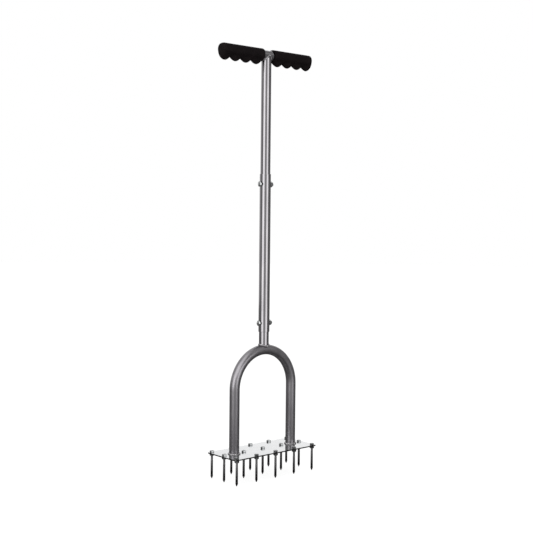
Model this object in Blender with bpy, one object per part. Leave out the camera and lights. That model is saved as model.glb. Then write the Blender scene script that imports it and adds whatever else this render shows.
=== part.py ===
"""Manual lawn aerator: a spike plate under a bent tube frame, a bolted pole and a T handle.

Metres, +Z up. The origin lies level with the spike tips, under the middle of the plate.
X runs along the plate and the handle, and Y across the plate.
"""

import math

import bmesh
import bpy
from mathutils import Matrix, Vector

# Clearance that pieces which touch on the real tool keep between their meshes
SEAT_GAP = 0.0003

# Spike plate
COLUMN_COUNT = 5
ROW_COUNT = 3
COLUMN_PITCH = 0.0622
ROW_PITCH = 0.0485
PLATE_PAST_NUT_CORNER = 0.0035
PLATE_PAST_NUT_FLAT = 0.0008
PLATE_THICKNESS = 0.003
PLATE_CORNER_RADIUS = 0.003
SPIKE_HOLE_CLEARANCE = 0.0003

# Spikes, with an M6 thread at the top
SPIKE_THREAD_DIAMETER = 0.006
SPIKE_THREAD_DEPTH = 0.00035
SPIKE_BELOW_PLATE = 0.062
SPIKE_THREAD_BELOW_NUT = 0.012
SPIKE_ABOVE_NUT = 0.0022
SPIKE_POINT_LENGTH = 0.0085
SPIKE_FLARE_LENGTH = 0.005
SPIKE_FLARE_HEIGHT = 0.0002
SPIKE_TIP_DIAMETER = 0.0012
SPIKE_END_CHAMFER = 0.0006

# M6 nuts, one above and one below the plate on each spike
PLATE_NUT_WALL = 0.002
PLATE_NUT_HEIGHT = 0.005

# Frame and pole tubes
TUBE_DIAMETER = 0.025
TUBE_WALL = 0.0012
FRAME_LEG_LENGTH = 0.1567
STUB_SHOWING = 0.0325
STUB_IN_SLEEVE = 0.044
SLEEVE_LENGTH = 0.3938
SLEEVE_CLEARANCE = 0.0003
SLEEVE_WALL = 0.0012
UPPER_TUBE_IN_SLEEVE = 0.050
UPPER_TUBE_SHOWING = 0.2939

# Welds round the frame's feet, and where a tube end sits saddle cut on another tube
FOOT_WELD_WIDTH = 0.0025
FOOT_WELD_HEIGHT = 0.003
SADDLE_WELD_WIDTH = 0.0018
SADDLE_WELD_HEIGHT = 0.0025
SADDLE_WELD_LEAST_WIDTH = 0.00015

# M8 bolts through the two pole joints, each halfway along its overlap
POLE_BOLT_DIAMETER = 0.008
POLE_NUT_WALL = 0.0025
POLE_BOLT_HEAD_HEIGHT = 0.0053
POLE_BOLT_CLEARANCE = 0.0003
POLE_BOLT_PAST_NUT = 0.004
POLE_BOLT_END_CHAMFER = 0.0008
POLE_NUT_HEIGHT = 0.0065

# Handle bar and its two finger grips
BAR_DIAMETER = 0.025
BAR_WALL = 0.0012
GRIP_FROM_WELD = 0.0024
GRIP_LENGTH = 0.1283
GRIP_BORE_CLEARANCE = 0.0003
GRIP_END_THICKNESS = 0.005
GRIP_TOP_THICKNESS = 0.0038
GRIP_SIDE_THICKNESS = 0.0038
GRIP_VALLEY_THICKNESS = 0.0026
GRIP_LOBE_THICKNESS = 0.0115
GRIP_LOBE_PITCH = 0.0329
GRIP_VALLEY_FROM_INNER_END = 0.0018
GRIP_VALLEY_COUNT = 4
GRIP_END_RADIUS = 0.008

# How finely round shapes are divided
TUBE_SIDES = 20
FASTENER_SIDES = 12
FRAME_BEND_STEPS = 18
GRIP_SIDES = 20
GRIP_STEPS_PER_LOBE = 6
GRIP_END_STEPS = 4
CORNER_STEPS = 4

# Flat top of a nut or bolt head, as a share of its width across flats
CHAMFER_SHARE = 0.95
CHAMFER_SLOPE = math.tan(math.radians(30))

# Heights and places worked out from the sizes above
PLATE_NUT_FLATS = SPIKE_THREAD_DIAMETER + 2 * PLATE_NUT_WALL
PLATE_NUT_CORNER = PLATE_NUT_FLATS / 2 / math.cos(math.radians(30))
POLE_NUT_FLATS = POLE_BOLT_DIAMETER + 2 * POLE_NUT_WALL
TUBE_RADIUS = TUBE_DIAMETER / 2
SLEEVE_INNER_RADIUS = TUBE_RADIUS + SLEEVE_CLEARANCE
SLEEVE_OUTER_RADIUS = SLEEVE_INNER_RADIUS + SLEEVE_WALL
BAR_RADIUS = BAR_DIAMETER / 2
LAST_COLUMN = (COLUMN_COUNT - 1) * COLUMN_PITCH / 2
LAST_ROW = (ROW_COUNT - 1) * ROW_PITCH / 2
PLATE_HALF_LENGTH = LAST_COLUMN + PLATE_NUT_CORNER + PLATE_PAST_NUT_CORNER
PLATE_HALF_WIDTH = LAST_ROW + PLATE_NUT_FLATS / 2 + PLATE_PAST_NUT_FLAT
PLATE_BOTTOM = SPIKE_BELOW_PLATE
PLATE_TOP = PLATE_BOTTOM + PLATE_THICKNESS
FRAME_FOOT = PLATE_TOP + SEAT_GAP
FRAME_BEND_RADIUS = LAST_COLUMN - COLUMN_PITCH / 2
FRAME_SPRING = PLATE_TOP + FRAME_LEG_LENGTH
FRAME_CROWN = FRAME_SPRING + FRAME_BEND_RADIUS
SLEEVE_BOTTOM = FRAME_CROWN + TUBE_RADIUS + STUB_SHOWING
SLEEVE_TOP = SLEEVE_BOTTOM + SLEEVE_LENGTH
STUB_TOP = SLEEVE_BOTTOM + STUB_IN_SLEEVE
UPPER_TUBE_BOTTOM = SLEEVE_TOP - UPPER_TUBE_IN_SLEEVE
BAR_HEIGHT = SLEEVE_TOP + UPPER_TUBE_SHOWING
LOWER_BOLT_HEIGHT = SLEEVE_BOTTOM + STUB_IN_SLEEVE / 2
UPPER_BOLT_HEIGHT = SLEEVE_TOP - UPPER_TUBE_IN_SLEEVE / 2
GRIP_INNER_END = TUBE_RADIUS + SADDLE_WELD_WIDTH + GRIP_FROM_WELD
BAR_HALF_LENGTH = GRIP_INNER_END + GRIP_LENGTH - GRIP_END_THICKNESS - SEAT_GAP


def clear_scene():
    """Remove every object that is in the scene."""
    for thing in list(bpy.data.objects):
        bpy.data.objects.remove(thing, do_unlink=True)


def make_material(name, color, roughness, metallic):
    """One Principled material with the piece's own colour and finish."""
    material = bpy.data.materials.new(name)
    material.use_nodes = True
    shader = material.node_tree.nodes["Principled BSDF"]
    shader.inputs["Base Color"].default_value = (*color, 1.0)
    shader.inputs["Roughness"].default_value = roughness
    shader.inputs["Metallic"].default_value = metallic
    return material


def tube_paint(name):
    """Silver grey gloss paint of the tubes."""
    return make_material(name, (0.33, 0.33, 0.34), 0.28, 0.85)


def frame_paint(name):
    """Darker grey gloss paint of the bent frame."""
    return make_material(name, (0.14, 0.14, 0.145), 0.3, 0.8)


def bright_plating(name):
    """Bright plating of the plate, nuts and bolts."""
    return make_material(name, (0.8, 0.8, 0.81), 0.12, 1.0)


def spike_steel(name):
    """Dark steel of the spikes."""
    return make_material(name, (0.09, 0.09, 0.092), 0.35, 0.9)


def grip_rubber(name):
    """Black moulded rubber of the grips."""
    return make_material(name, (0.012, 0.011, 0.011), 0.62, 0.0)


def add_object(name, mesh, finish, smooth_angle=35.0):
    """Link a mesh to the scene as a named object with its own material."""
    mesh.name = name
    thing = bpy.data.objects.new(name, mesh)
    bpy.context.scene.collection.objects.link(thing)
    mesh.materials.clear()
    mesh.materials.append(finish(name + "_finish"))
    mesh.shade_smooth()
    mesh.set_sharp_from_angle(angle=math.radians(smooth_angle))
    return thing


def add_helper(name, mesh):
    """Link a mesh that only cuts, and is no piece of the tool."""
    thing = bpy.data.objects.new(name, mesh)
    bpy.context.scene.collection.objects.link(thing)
    thing.hide_render = True
    thing.display_type = "WIRE"
    return thing


def add_cut(thing, cutter):
    """Cut another object's shape out of this one."""
    modifier = thing.modifiers.new("cut_" + cutter.name, "BOOLEAN")
    modifier.operation = "DIFFERENCE"
    modifier.solver = "EXACT"
    modifier.object = cutter


def mesh_of_rings(rings, closed_loop=False):
    """Skin a row of equal rings of points; a closed loop joins the last ring to the first."""
    shell = bmesh.new()
    rows = [[shell.verts.new(point) for point in ring] for ring in rings]
    pairs = list(zip(rows, rows[1:]))
    if closed_loop:
        pairs.append((rows[-1], rows[0]))
    for low, high in pairs:
        for index in range(len(low)):
            after = (index + 1) % len(low)
            shell.faces.new((low[index], low[after], high[after], high[index]))
    if not closed_loop:
        shell.faces.new(list(reversed(rows[0])))
        shell.faces.new(rows[-1])
    bmesh.ops.recalc_face_normals(shell, faces=shell.faces)
    mesh = bpy.data.meshes.new("rings")
    shell.to_mesh(mesh)
    shell.free()
    return mesh


def circle(radius, height, sides):
    """Points of a level circle round Z."""
    turns = [2 * math.pi * index / sides for index in range(sides)]
    return [Vector((radius * math.cos(a), radius * math.sin(a), height)) for a in turns]


def turned(profile, sides):
    """Solid turned round Z from (radius, height) pairs, flat at both ends."""
    return mesh_of_rings([circle(radius, height, sides) for radius, height in profile])


def turned_ring(profile, sides):
    """Ring turned round Z from a closed outline of (radius, height) pairs."""
    rings = [circle(radius, height, sides) for radius, height in profile]
    return mesh_of_rings(rings, closed_loop=True)


def tube_mesh(outer_radius, inner_radius, bottom, top):
    """Straight open tube along Z."""
    outline = [
        (outer_radius, bottom),
        (outer_radius, top),
        (inner_radius, top),
        (inner_radius, bottom),
    ]
    return turned_ring(outline, TUBE_SIDES)


def around_flats(radius, sides):
    """Corner radius of a polygon whose flats clear a circle of this radius."""
    return radius / math.cos(math.pi / sides)


def lie_along_x(mesh):
    """Turn a mesh so that what pointed up points towards +X."""
    mesh.transform(Matrix.Rotation(math.radians(90), 4, "Y"))
    return mesh


def hexagon_radius(flats, angle):
    """Distance from the axis to a hexagon's side at this angle, with a corner at zero."""
    within = angle % math.radians(60) - math.radians(30)
    return flats / 2 / math.cos(within)


def hexagon_ring(flats, height, chamfered=False):
    """Hexagon of points at this height, which drops towards its corners where it is chamfered."""
    points = []
    for index in range(FASTENER_SIDES):
        angle = 2 * math.pi * index / FASTENER_SIDES
        radius = hexagon_radius(flats, angle)
        drop = (radius - CHAMFER_SHARE * flats / 2) * CHAMFER_SLOPE if chamfered else 0.0
        points.append(Vector((radius * math.cos(angle), radius * math.sin(angle), height - drop)))
    return points


def nut_mesh(flats, bore_diameter, height):
    """Hexagon nut from zero up to its height, chamfered on its upper face."""
    bore = around_flats(bore_diameter / 2, FASTENER_SIDES)
    rings = [
        circle(bore, 0.0, FASTENER_SIDES),
        hexagon_ring(flats, 0.0),
        hexagon_ring(flats, height, chamfered=True),
        circle(CHAMFER_SHARE * flats / 2, height, FASTENER_SIDES),
        circle(bore, height, FASTENER_SIDES),
    ]
    return mesh_of_rings(rings, closed_loop=True)


def pole_bolt_mesh(length):
    """Hexagon bolt whose head points to -X and whose shank of this length runs to +X."""
    radius = POLE_BOLT_DIAMETER / 2
    head = POLE_BOLT_HEAD_HEIGHT
    rings = [
        circle(radius - POLE_BOLT_END_CHAMFER, -length, FASTENER_SIDES),
        circle(radius, POLE_BOLT_END_CHAMFER - length, FASTENER_SIDES),
        circle(radius, 0.0, FASTENER_SIDES),
        hexagon_ring(POLE_NUT_FLATS, 0.0),
        hexagon_ring(POLE_NUT_FLATS, head, chamfered=True),
        circle(CHAMFER_SHARE * POLE_NUT_FLATS / 2, head, FASTENER_SIDES),
    ]
    mesh = mesh_of_rings(rings)
    mesh.transform(Matrix.Rotation(math.radians(-90), 4, "Y"))
    return mesh


def spike_places():
    """Name ending and (x, y) of each spike, row by row from the front."""
    places = []
    for row in range(ROW_COUNT):
        y = (row - (ROW_COUNT - 1) / 2) * ROW_PITCH
        for column in range(COLUMN_COUNT):
            x = (column - (COLUMN_COUNT - 1) / 2) * COLUMN_PITCH
            places.append((f"r{row + 1}c{column + 1}", x, y))
    return places


def rounded_rectangle(half_length, half_width, corner_radius):
    """Outline of a rectangle with round corners, as (x, y) pairs."""
    points = []
    for quarter, (sign_x, sign_y) in enumerate(((1, 1), (-1, 1), (-1, -1), (1, -1))):
        centre_x = sign_x * (half_length - corner_radius)
        centre_y = sign_y * (half_width - corner_radius)
        for step in range(CORNER_STEPS + 1):
            angle = math.radians(90) * (quarter + step / CORNER_STEPS)
            x = centre_x + corner_radius * math.cos(angle)
            y = centre_y + corner_radius * math.sin(angle)
            points.append((x, y))
    return points


def spike_hole_cutters():
    """One helper that holds a round cutter for every spike hole."""
    radius = SPIKE_THREAD_DIAMETER / 2 + SPIKE_HOLE_CLEARANCE
    corner = around_flats(radius, FASTENER_SIDES)
    holes = bmesh.new()
    for _, x, y in spike_places():
        bmesh.ops.create_cone(
            holes,
            cap_ends=True,
            segments=FASTENER_SIDES,
            radius1=corner,
            radius2=corner,
            depth=3 * PLATE_THICKNESS,
            matrix=Matrix.Translation((x, y, PLATE_TOP - PLATE_THICKNESS / 2)),
        )
    mesh = bpy.data.meshes.new("spike_hole_cutters")
    holes.to_mesh(mesh)
    holes.free()
    return add_helper("spike_hole_cutters", mesh)


def build_plate():
    """Flat steel plate with a hole for each spike."""
    outline = rounded_rectangle(PLATE_HALF_LENGTH, PLATE_HALF_WIDTH, PLATE_CORNER_RADIUS)
    rings = [[Vector((x, y, height)) for x, y in outline] for height in (PLATE_BOTTOM, PLATE_TOP)]
    plate = add_object("spike_plate", mesh_of_rings(rings), bright_plating)
    add_cut(plate, spike_hole_cutters())


def spike_profile():
    """(radius, height) pairs of a spike from its tip up to its threaded end."""
    thread = SPIKE_THREAD_DIAMETER / 2
    shank = thread - SPIKE_THREAD_DEPTH
    thread_end = PLATE_BOTTOM - SEAT_GAP - PLATE_NUT_HEIGHT - SPIKE_THREAD_BELOW_NUT
    top = PLATE_TOP + SEAT_GAP + PLATE_NUT_HEIGHT + SPIKE_ABOVE_NUT
    return [
        (SPIKE_TIP_DIAMETER / 2, 0.0),
        (shank + SPIKE_FLARE_HEIGHT, SPIKE_POINT_LENGTH),
        (shank, SPIKE_POINT_LENGTH + SPIKE_FLARE_LENGTH),
        (shank, thread_end - SPIKE_THREAD_DEPTH),
        (thread, thread_end),
        (thread, top - SPIKE_END_CHAMFER),
        (thread - SPIKE_END_CHAMFER, top),
    ]


def build_spikes():
    """Every spike with the nut that holds it on each side of the plate."""
    bore = SPIKE_THREAD_DIAMETER + 2 * SPIKE_HOLE_CLEARANCE
    for ending, x, y in spike_places():
        spike = add_object("spike_" + ending, turned(spike_profile(), FASTENER_SIDES), spike_steel)
        spike.location = (x, y, 0.0)
        top_mesh = nut_mesh(PLATE_NUT_FLATS, bore, PLATE_NUT_HEIGHT)
        top_nut = add_object("top_nut_" + ending, top_mesh, bright_plating)
        top_nut.location = (x, y, PLATE_TOP + SEAT_GAP)
        lower_mesh = nut_mesh(PLATE_NUT_FLATS, bore, PLATE_NUT_HEIGHT)
        lower_mesh.transform(Matrix.Rotation(math.pi, 4, "X"))
        lower_nut = add_object("lower_nut_" + ending, lower_mesh, bright_plating)
        lower_nut.location = (x, y, PLATE_BOTTOM - SEAT_GAP)


def bend_path():
    """(x, height, outward angle) of places on the frame's bend, left to right."""
    places = []
    for step in range(FRAME_BEND_STEPS + 1):
        angle = math.pi * (1 - step / FRAME_BEND_STEPS)
        x = FRAME_BEND_RADIUS * math.cos(angle)
        places.append((x, FRAME_SPRING + FRAME_BEND_RADIUS * math.sin(angle), angle))
    return places


def frame_path():
    """(x, height, outward angle) of places on the frame's centreline, foot to foot."""
    weld_top = FRAME_FOOT + FOOT_WELD_HEIGHT
    left_leg = [(-FRAME_BEND_RADIUS, height, math.pi) for height in (FRAME_FOOT, weld_top)]
    right_leg = [(FRAME_BEND_RADIUS, height, 0.0) for height in (weld_top, FRAME_FOOT)]
    return left_leg + bend_path() + right_leg


def ring_on_frame(place, radius):
    """Ring of points round the frame's centreline at one of its places."""
    x, height, angle = place
    outward = Vector((math.cos(angle), 0.0, math.sin(angle)))
    across = Vector((0.0, 1.0, 0.0))
    centre = Vector((x, 0.0, height))
    turns = [2 * math.pi * index / TUBE_SIDES for index in range(TUBE_SIDES)]
    return [centre + radius * (math.cos(a) * outward + math.sin(a) * across) for a in turns]


def build_frame():
    """Bent tube frame, hollow, with a weld round each foot."""
    path = frame_path()
    outer = [ring_on_frame(place, TUBE_RADIUS) for place in path]
    outer[0] = ring_on_frame(path[0], TUBE_RADIUS + FOOT_WELD_WIDTH)
    outer[-1] = ring_on_frame(path[-1], TUBE_RADIUS + FOOT_WELD_WIDTH)
    inner = [ring_on_frame(place, TUBE_RADIUS - TUBE_WALL) for place in path]
    mesh = mesh_of_rings(outer + inner[::-1], closed_loop=True)
    add_object("arch_frame", mesh, frame_paint)


def frame_skin(x, y):
    """Height just clear of the frame's outer skin, above a point near its crown."""
    radius = TUBE_RADIUS + SEAT_GAP
    over_axis = math.sqrt(max(radius**2 - y**2, 0.0))
    return FRAME_SPRING + math.sqrt((FRAME_BEND_RADIUS + over_axis) ** 2 - x**2)


def bar_skin(_x, y):
    """Height just clear of the handle bar's outer skin, below its axis."""
    radius = BAR_RADIUS + SEAT_GAP
    return BAR_HEIGHT - math.sqrt(max(radius**2 - y**2, 0.0))


def ring_on_skin(skin, radii, rise=0.0):
    """Ring round Z that follows another tube's skin, with one radius for each of its points."""
    points = []
    for radius, point in zip(radii, circle(1.0, 0.0, TUBE_SIDES)):
        x, y = radius * point.x, radius * point.y
        points.append(Vector((x, y, skin(x, y) + rise)))
    return points


def weld_radii():
    """Outer radius of a saddle weld at each point, widest along the tube that it joins."""
    spread = SADDLE_WELD_WIDTH - SADDLE_WELD_LEAST_WIDTH
    least = TUBE_RADIUS + SADDLE_WELD_LEAST_WIDTH
    return [least + spread * point.x**2 for point in circle(1.0, 0.0, TUBE_SIDES)]


def saddle_tube_mesh(skin, far_end):
    """Tube from a welded saddle joint on another tube's skin to a square far end."""
    inner_radius = TUBE_RADIUS - TUBE_WALL
    away = math.copysign(1.0, far_end - skin(0.0, 0.0))
    rings = [
        ring_on_skin(skin, [inner_radius] * TUBE_SIDES),
        ring_on_skin(skin, weld_radii()),
        ring_on_skin(skin, [TUBE_RADIUS] * TUBE_SIDES, away * SADDLE_WELD_HEIGHT),
        circle(TUBE_RADIUS, far_end, TUBE_SIDES),
        circle(inner_radius, far_end, TUBE_SIDES),
    ]
    return mesh_of_rings(rings, closed_loop=True)


def bolt_hole_cutter(name, height):
    """Helper that cuts the cross hole of a pole joint."""
    corner = around_flats(POLE_BOLT_DIAMETER / 2 + POLE_BOLT_CLEARANCE, FASTENER_SIDES)
    reach = 2 * SLEEVE_OUTER_RADIUS
    cutter = add_helper(name, lie_along_x(turned([(corner, -reach), (corner, reach)], FASTENER_SIDES)))
    cutter.location = (0.0, 0.0, height)
    return cutter


def build_stub(lower_hole):
    """Stub welded on the frame's crown, which the sleeve slips over."""
    stub = add_object("stub_tube", saddle_tube_mesh(frame_skin, STUB_TOP), tube_paint)
    add_cut(stub, lower_hole)


def build_sleeve(lower_hole, upper_hole):
    """Wider middle tube that joins the stub and the upper tube."""
    mesh = tube_mesh(SLEEVE_OUTER_RADIUS, SLEEVE_INNER_RADIUS, SLEEVE_BOTTOM, SLEEVE_TOP)
    sleeve = add_object("middle_tube", mesh, tube_paint)
    add_cut(sleeve, lower_hole)
    add_cut(sleeve, upper_hole)


def build_upper_tube(upper_hole):
    """Upper tube with its saddle end welded to the handle bar."""
    tube = add_object("upper_tube", saddle_tube_mesh(bar_skin, UPPER_TUBE_BOTTOM), tube_paint)
    add_cut(tube, upper_hole)


def build_pole_bolt(ending, height):
    """Cross bolt of a pole joint with its nut on the far side."""
    seat = SLEEVE_OUTER_RADIUS + SEAT_GAP
    length = 2 * seat + POLE_NUT_HEIGHT + POLE_BOLT_PAST_NUT
    bolt = add_object("pole_bolt_" + ending, pole_bolt_mesh(length), bright_plating)
    bolt.location = (-seat, 0.0, height)
    bore = POLE_BOLT_DIAMETER + 2 * POLE_BOLT_CLEARANCE
    nut_shape = lie_along_x(nut_mesh(POLE_NUT_FLATS, bore, POLE_NUT_HEIGHT))
    nut = add_object("pole_nut_" + ending, nut_shape, bright_plating)
    nut.location = (seat, 0.0, height)


def build_bar():
    """Straight handle bar, an open tube along X."""
    mesh = tube_mesh(BAR_RADIUS, BAR_RADIUS - BAR_WALL, -BAR_HALF_LENGTH, BAR_HALF_LENGTH)
    bar = add_object("handle_bar", lie_along_x(mesh), tube_paint)
    bar.location = (0.0, 0.0, BAR_HEIGHT)


def lobe_share(along):
    """Swelling below at this distance from the inner end, from 0 in a valley to 1 on a lobe."""
    phase = (along - GRIP_VALLEY_FROM_INNER_END) / GRIP_LOBE_PITCH
    last_valley = GRIP_VALLEY_COUNT - 1
    if phase > last_valley + 0.5:
        return 1.0
    return abs(math.sin(math.pi * phase))


def grip_ring(along, shrink):
    """Outline of a grip across its length, drawn in by the rounding of its closed end."""
    top = BAR_RADIUS + GRIP_TOP_THICKNESS - shrink
    side = BAR_RADIUS + GRIP_SIDE_THICKNESS - shrink
    swell = (GRIP_LOBE_THICKNESS - GRIP_VALLEY_THICKNESS) * lobe_share(along)
    below = BAR_RADIUS + GRIP_VALLEY_THICKNESS + swell - shrink
    points = []
    for index in range(GRIP_SIDES):
        angle = 2 * math.pi * index / GRIP_SIDES
        rise = math.sin(angle)
        reach = top if rise > 0 else below
        points.append(Vector((along, side * math.cos(angle), reach * rise)))
    return points


def grip_stations():
    """(distance from the inner end, shrink) of each outline of a grip."""
    straight = GRIP_LENGTH - GRIP_END_RADIUS
    step = GRIP_LOBE_PITCH / GRIP_STEPS_PER_LOBE
    stations = [(0.0, 0.0)]
    along = GRIP_VALLEY_FROM_INNER_END
    while along < straight - step / 3:
        stations.append((along, 0.0))
        along += step
    for index in range(GRIP_END_STEPS + 1):
        angle = math.radians(90) * index / GRIP_END_STEPS
        along = straight + GRIP_END_RADIUS * math.sin(angle)
        stations.append((along, GRIP_END_RADIUS * (1 - math.cos(angle))))
    return stations


def grip_mesh():
    """Grip with four finger valleys below, bored from its inner end and closed at its outer end."""
    bore = around_flats(BAR_RADIUS + GRIP_BORE_CLEARANCE, GRIP_SIDES)
    bore_end = GRIP_LENGTH - GRIP_END_THICKNESS
    rings = []
    for along in (bore_end, 0.0):
        rings.append([Vector((along, point.x, point.y)) for point in circle(bore, 0.0, GRIP_SIDES)])
    rings += [grip_ring(along, shrink) for along, shrink in grip_stations()]
    return mesh_of_rings(rings)


def build_grip(name, side):
    """One grip, on the left where side is -1 and on the right where it is 1."""
    mesh = grip_mesh()
    if side < 0:
        mesh.transform(Matrix.Scale(-1, 4, (1, 0, 0)))
        mesh.flip_normals()
    grip = add_object(name, mesh, grip_rubber, smooth_angle=50.0)
    grip.location = (side * GRIP_INNER_END, 0.0, BAR_HEIGHT)


def main():
    """Build the whole tool."""
    clear_scene()
    build_plate()
    build_spikes()
    build_frame()
    lower_hole = bolt_hole_cutter("lower_bolt_hole_cutter", LOWER_BOLT_HEIGHT)
    upper_hole = bolt_hole_cutter("upper_bolt_hole_cutter", UPPER_BOLT_HEIGHT)
    build_stub(lower_hole)
    build_sleeve(lower_hole, upper_hole)
    build_upper_tube(upper_hole)
    build_pole_bolt("lower", LOWER_BOLT_HEIGHT)
    build_pole_bolt("upper", UPPER_BOLT_HEIGHT)
    build_bar()
    build_grip("left_grip", -1)
    build_grip("right_grip", 1)


main()
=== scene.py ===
"""Looks of a manual lawn aerator: spike plate, bent tube frame, bolted pole and finger grips.

Metres, +Z up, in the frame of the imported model, which gives every place and main size.
X runs along the plate and the handle, and Y across the plate. The camera stands in front, on the left.
"""

import logging
import math
from collections.abc import Callable, Sequence
from dataclasses import dataclass
from enum import Enum
from functools import partial

import bmesh
import bpy
from mathutils import Matrix, Vector
from mathutils.geometry import tessellate_polygon

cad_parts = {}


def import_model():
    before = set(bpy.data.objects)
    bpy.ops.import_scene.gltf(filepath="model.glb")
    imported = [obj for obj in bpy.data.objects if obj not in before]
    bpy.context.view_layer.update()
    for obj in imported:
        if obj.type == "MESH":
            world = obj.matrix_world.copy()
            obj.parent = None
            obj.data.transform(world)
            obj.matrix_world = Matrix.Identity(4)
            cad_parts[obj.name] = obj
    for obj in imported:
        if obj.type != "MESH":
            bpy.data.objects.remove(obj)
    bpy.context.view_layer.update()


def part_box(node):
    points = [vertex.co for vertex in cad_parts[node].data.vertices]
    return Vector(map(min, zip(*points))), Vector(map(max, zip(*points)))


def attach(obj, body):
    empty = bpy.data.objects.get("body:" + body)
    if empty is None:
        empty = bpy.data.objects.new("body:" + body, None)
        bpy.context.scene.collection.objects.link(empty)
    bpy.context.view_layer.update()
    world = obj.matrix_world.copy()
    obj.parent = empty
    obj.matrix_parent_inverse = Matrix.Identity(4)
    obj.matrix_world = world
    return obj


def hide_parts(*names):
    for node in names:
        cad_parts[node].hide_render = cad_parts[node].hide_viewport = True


LOG = logging.getLogger("lawn_aerator")

BODY = "root"
MM = 0.001
TAU = 2 * math.pi
TUBE_RADIUS = 12.5 * MM
TUBE_WALL = 1.2 * MM
# Gap between a tube's cut end and the skin that it is welded to
WELD_GAP = 0.3 * MM
# How far off that skin the middle of a bead lies, as a share of its radius
BEAD_LIFT = 0.35

# Blender's names for the types that are used most
MATH = "ShaderNodeMath"
VECTOR_MATH = "ShaderNodeVectorMath"
MAP_RANGE = "ShaderNodeMapRange"
MIX = "ShaderNodeMix"
FLOAT = "NodeSocketFloat"

Ring = list[Vector]
Pair = tuple[float, float]
Outline = list[Pair]
Greys = tuple[Pair, ...]
Mesh = bpy.types.Mesh
Material = bpy.types.Material
Socket = bpy.types.NodeSocket


class Slot(Enum):
    """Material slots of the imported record."""

    PLATE = "plate_plating"
    FASTENER = "fastener_plating"
    SPIKE = "spike_steel"
    FRAME = "frame_paint"
    POLE = "pole_paint"
    GRIP = "grip_rubber"


class Side(Enum):
    """Left or right side of the tool, as a sign along X."""

    LEFT = -1
    RIGHT = 1


# Finishes


def linear(hex_colour: str) -> tuple[float, float, float, float]:
    """Turn an sRGB hex colour into linear RGBA.

    Args:
        hex_colour: six hex digits after a hash sign.

    Returns:
        Linear red, green and blue, and an alpha of 1.
    """
    shares = [int(hex_colour[start : start + 2], 16) / 255 for start in (1, 3, 5)]
    red, green, blue = (s / 12.92 if s <= 0.04045 else ((s + 0.055) / 1.055) ** 2.4 for s in shares)
    return red, green, blue, 1.0


class Nodes:
    """A node tree that is being built."""

    def __init__(self, tree: bpy.types.NodeTree) -> None:
        """Take the tree to build."""
        self.tree = tree

    def fill(self, node: bpy.types.Node, values: dict) -> None:
        """Give a node's inputs their links and plain values.

        Args:
            node: the node.
            values: value or linked socket for each input, by the input's name or number.
        """
        for key, value in values.items():
            if isinstance(value, Socket):
                self.tree.links.new(value, node.inputs[key])
            else:
                node.inputs[key].default_value = value

    def add(self, kind: str, inputs: dict | tuple = (), **settings: object) -> Sequence[Socket]:
        """Add one node with its settings, values and links.

        Args:
            kind: Blender's name for the type of node.
            inputs: value or linked socket for each input, in order, or by the input's name or number.
            settings: the node's own properties, such as its operation.

        Returns:
            The node's outputs, which can also be picked by name.
        """
        node = self.tree.nodes.new(kind)
        for name, value in settings.items():
            setattr(node, name, value)
        self.fill(node, inputs if isinstance(inputs, dict) else dict(enumerate(inputs)))
        return node.outputs


class SurfaceTree(Nodes):
    """Shader tree of one finish, whose patterns lie on Object coordinates."""

    def __init__(self, name: str) -> None:
        """Start the material, with its shader and its coordinates.

        Args:
            name: the material's name.
        """
        self.material = bpy.data.materials.new(name)
        self.material.use_nodes = True
        super().__init__(self.material.node_tree)
        self.shader = self.tree.nodes["Principled BSDF"]
        self.place = self.add("ShaderNodeTexCoord")["Object"]

    def noise(self, size: float, stretch: Sequence[float] = (1, 1, 1), detail: float = 2.0) -> Socket:
        """Lay noise over the surface.

        Args:
            size: width of its patches in metres.
            stretch: how much longer the patches are along X, Y and Z.
            detail: how many finer layers it has.

        Returns:
            A value from 0 to 1.
        """
        scale = tuple(1.0 / share for share in stretch)
        mapped = self.add("ShaderNodeMapping", {"Vector": self.place, "Scale": scale})[0]
        patches = {"Vector": mapped, "Scale": 1.0 / size, "Detail": detail}
        return self.add("ShaderNodeTexNoise", patches)["Fac"]

    def blend(self, value: Socket, band: Pair, first: str, second: str) -> Socket:
        """Blend two hex colours while a value crosses a band, at whose ends each shows alone."""
        share = self.add(MAP_RANGE, (value, *band))[0]
        return self.add(MIX, {"Factor": share, 6: linear(first), 7: linear(second)}, data_type="RGBA")[2]

    def finished(self, **values: object) -> Material:
        """Set the shader's own sockets.

        Args:
            values: value or linked socket for each, with the spaces in its name given as underscores.

        Returns:
            The material.
        """
        self.fill(self.shader, {name.replace("_", " "): value for name, value in values.items()})
        return self.material


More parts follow.
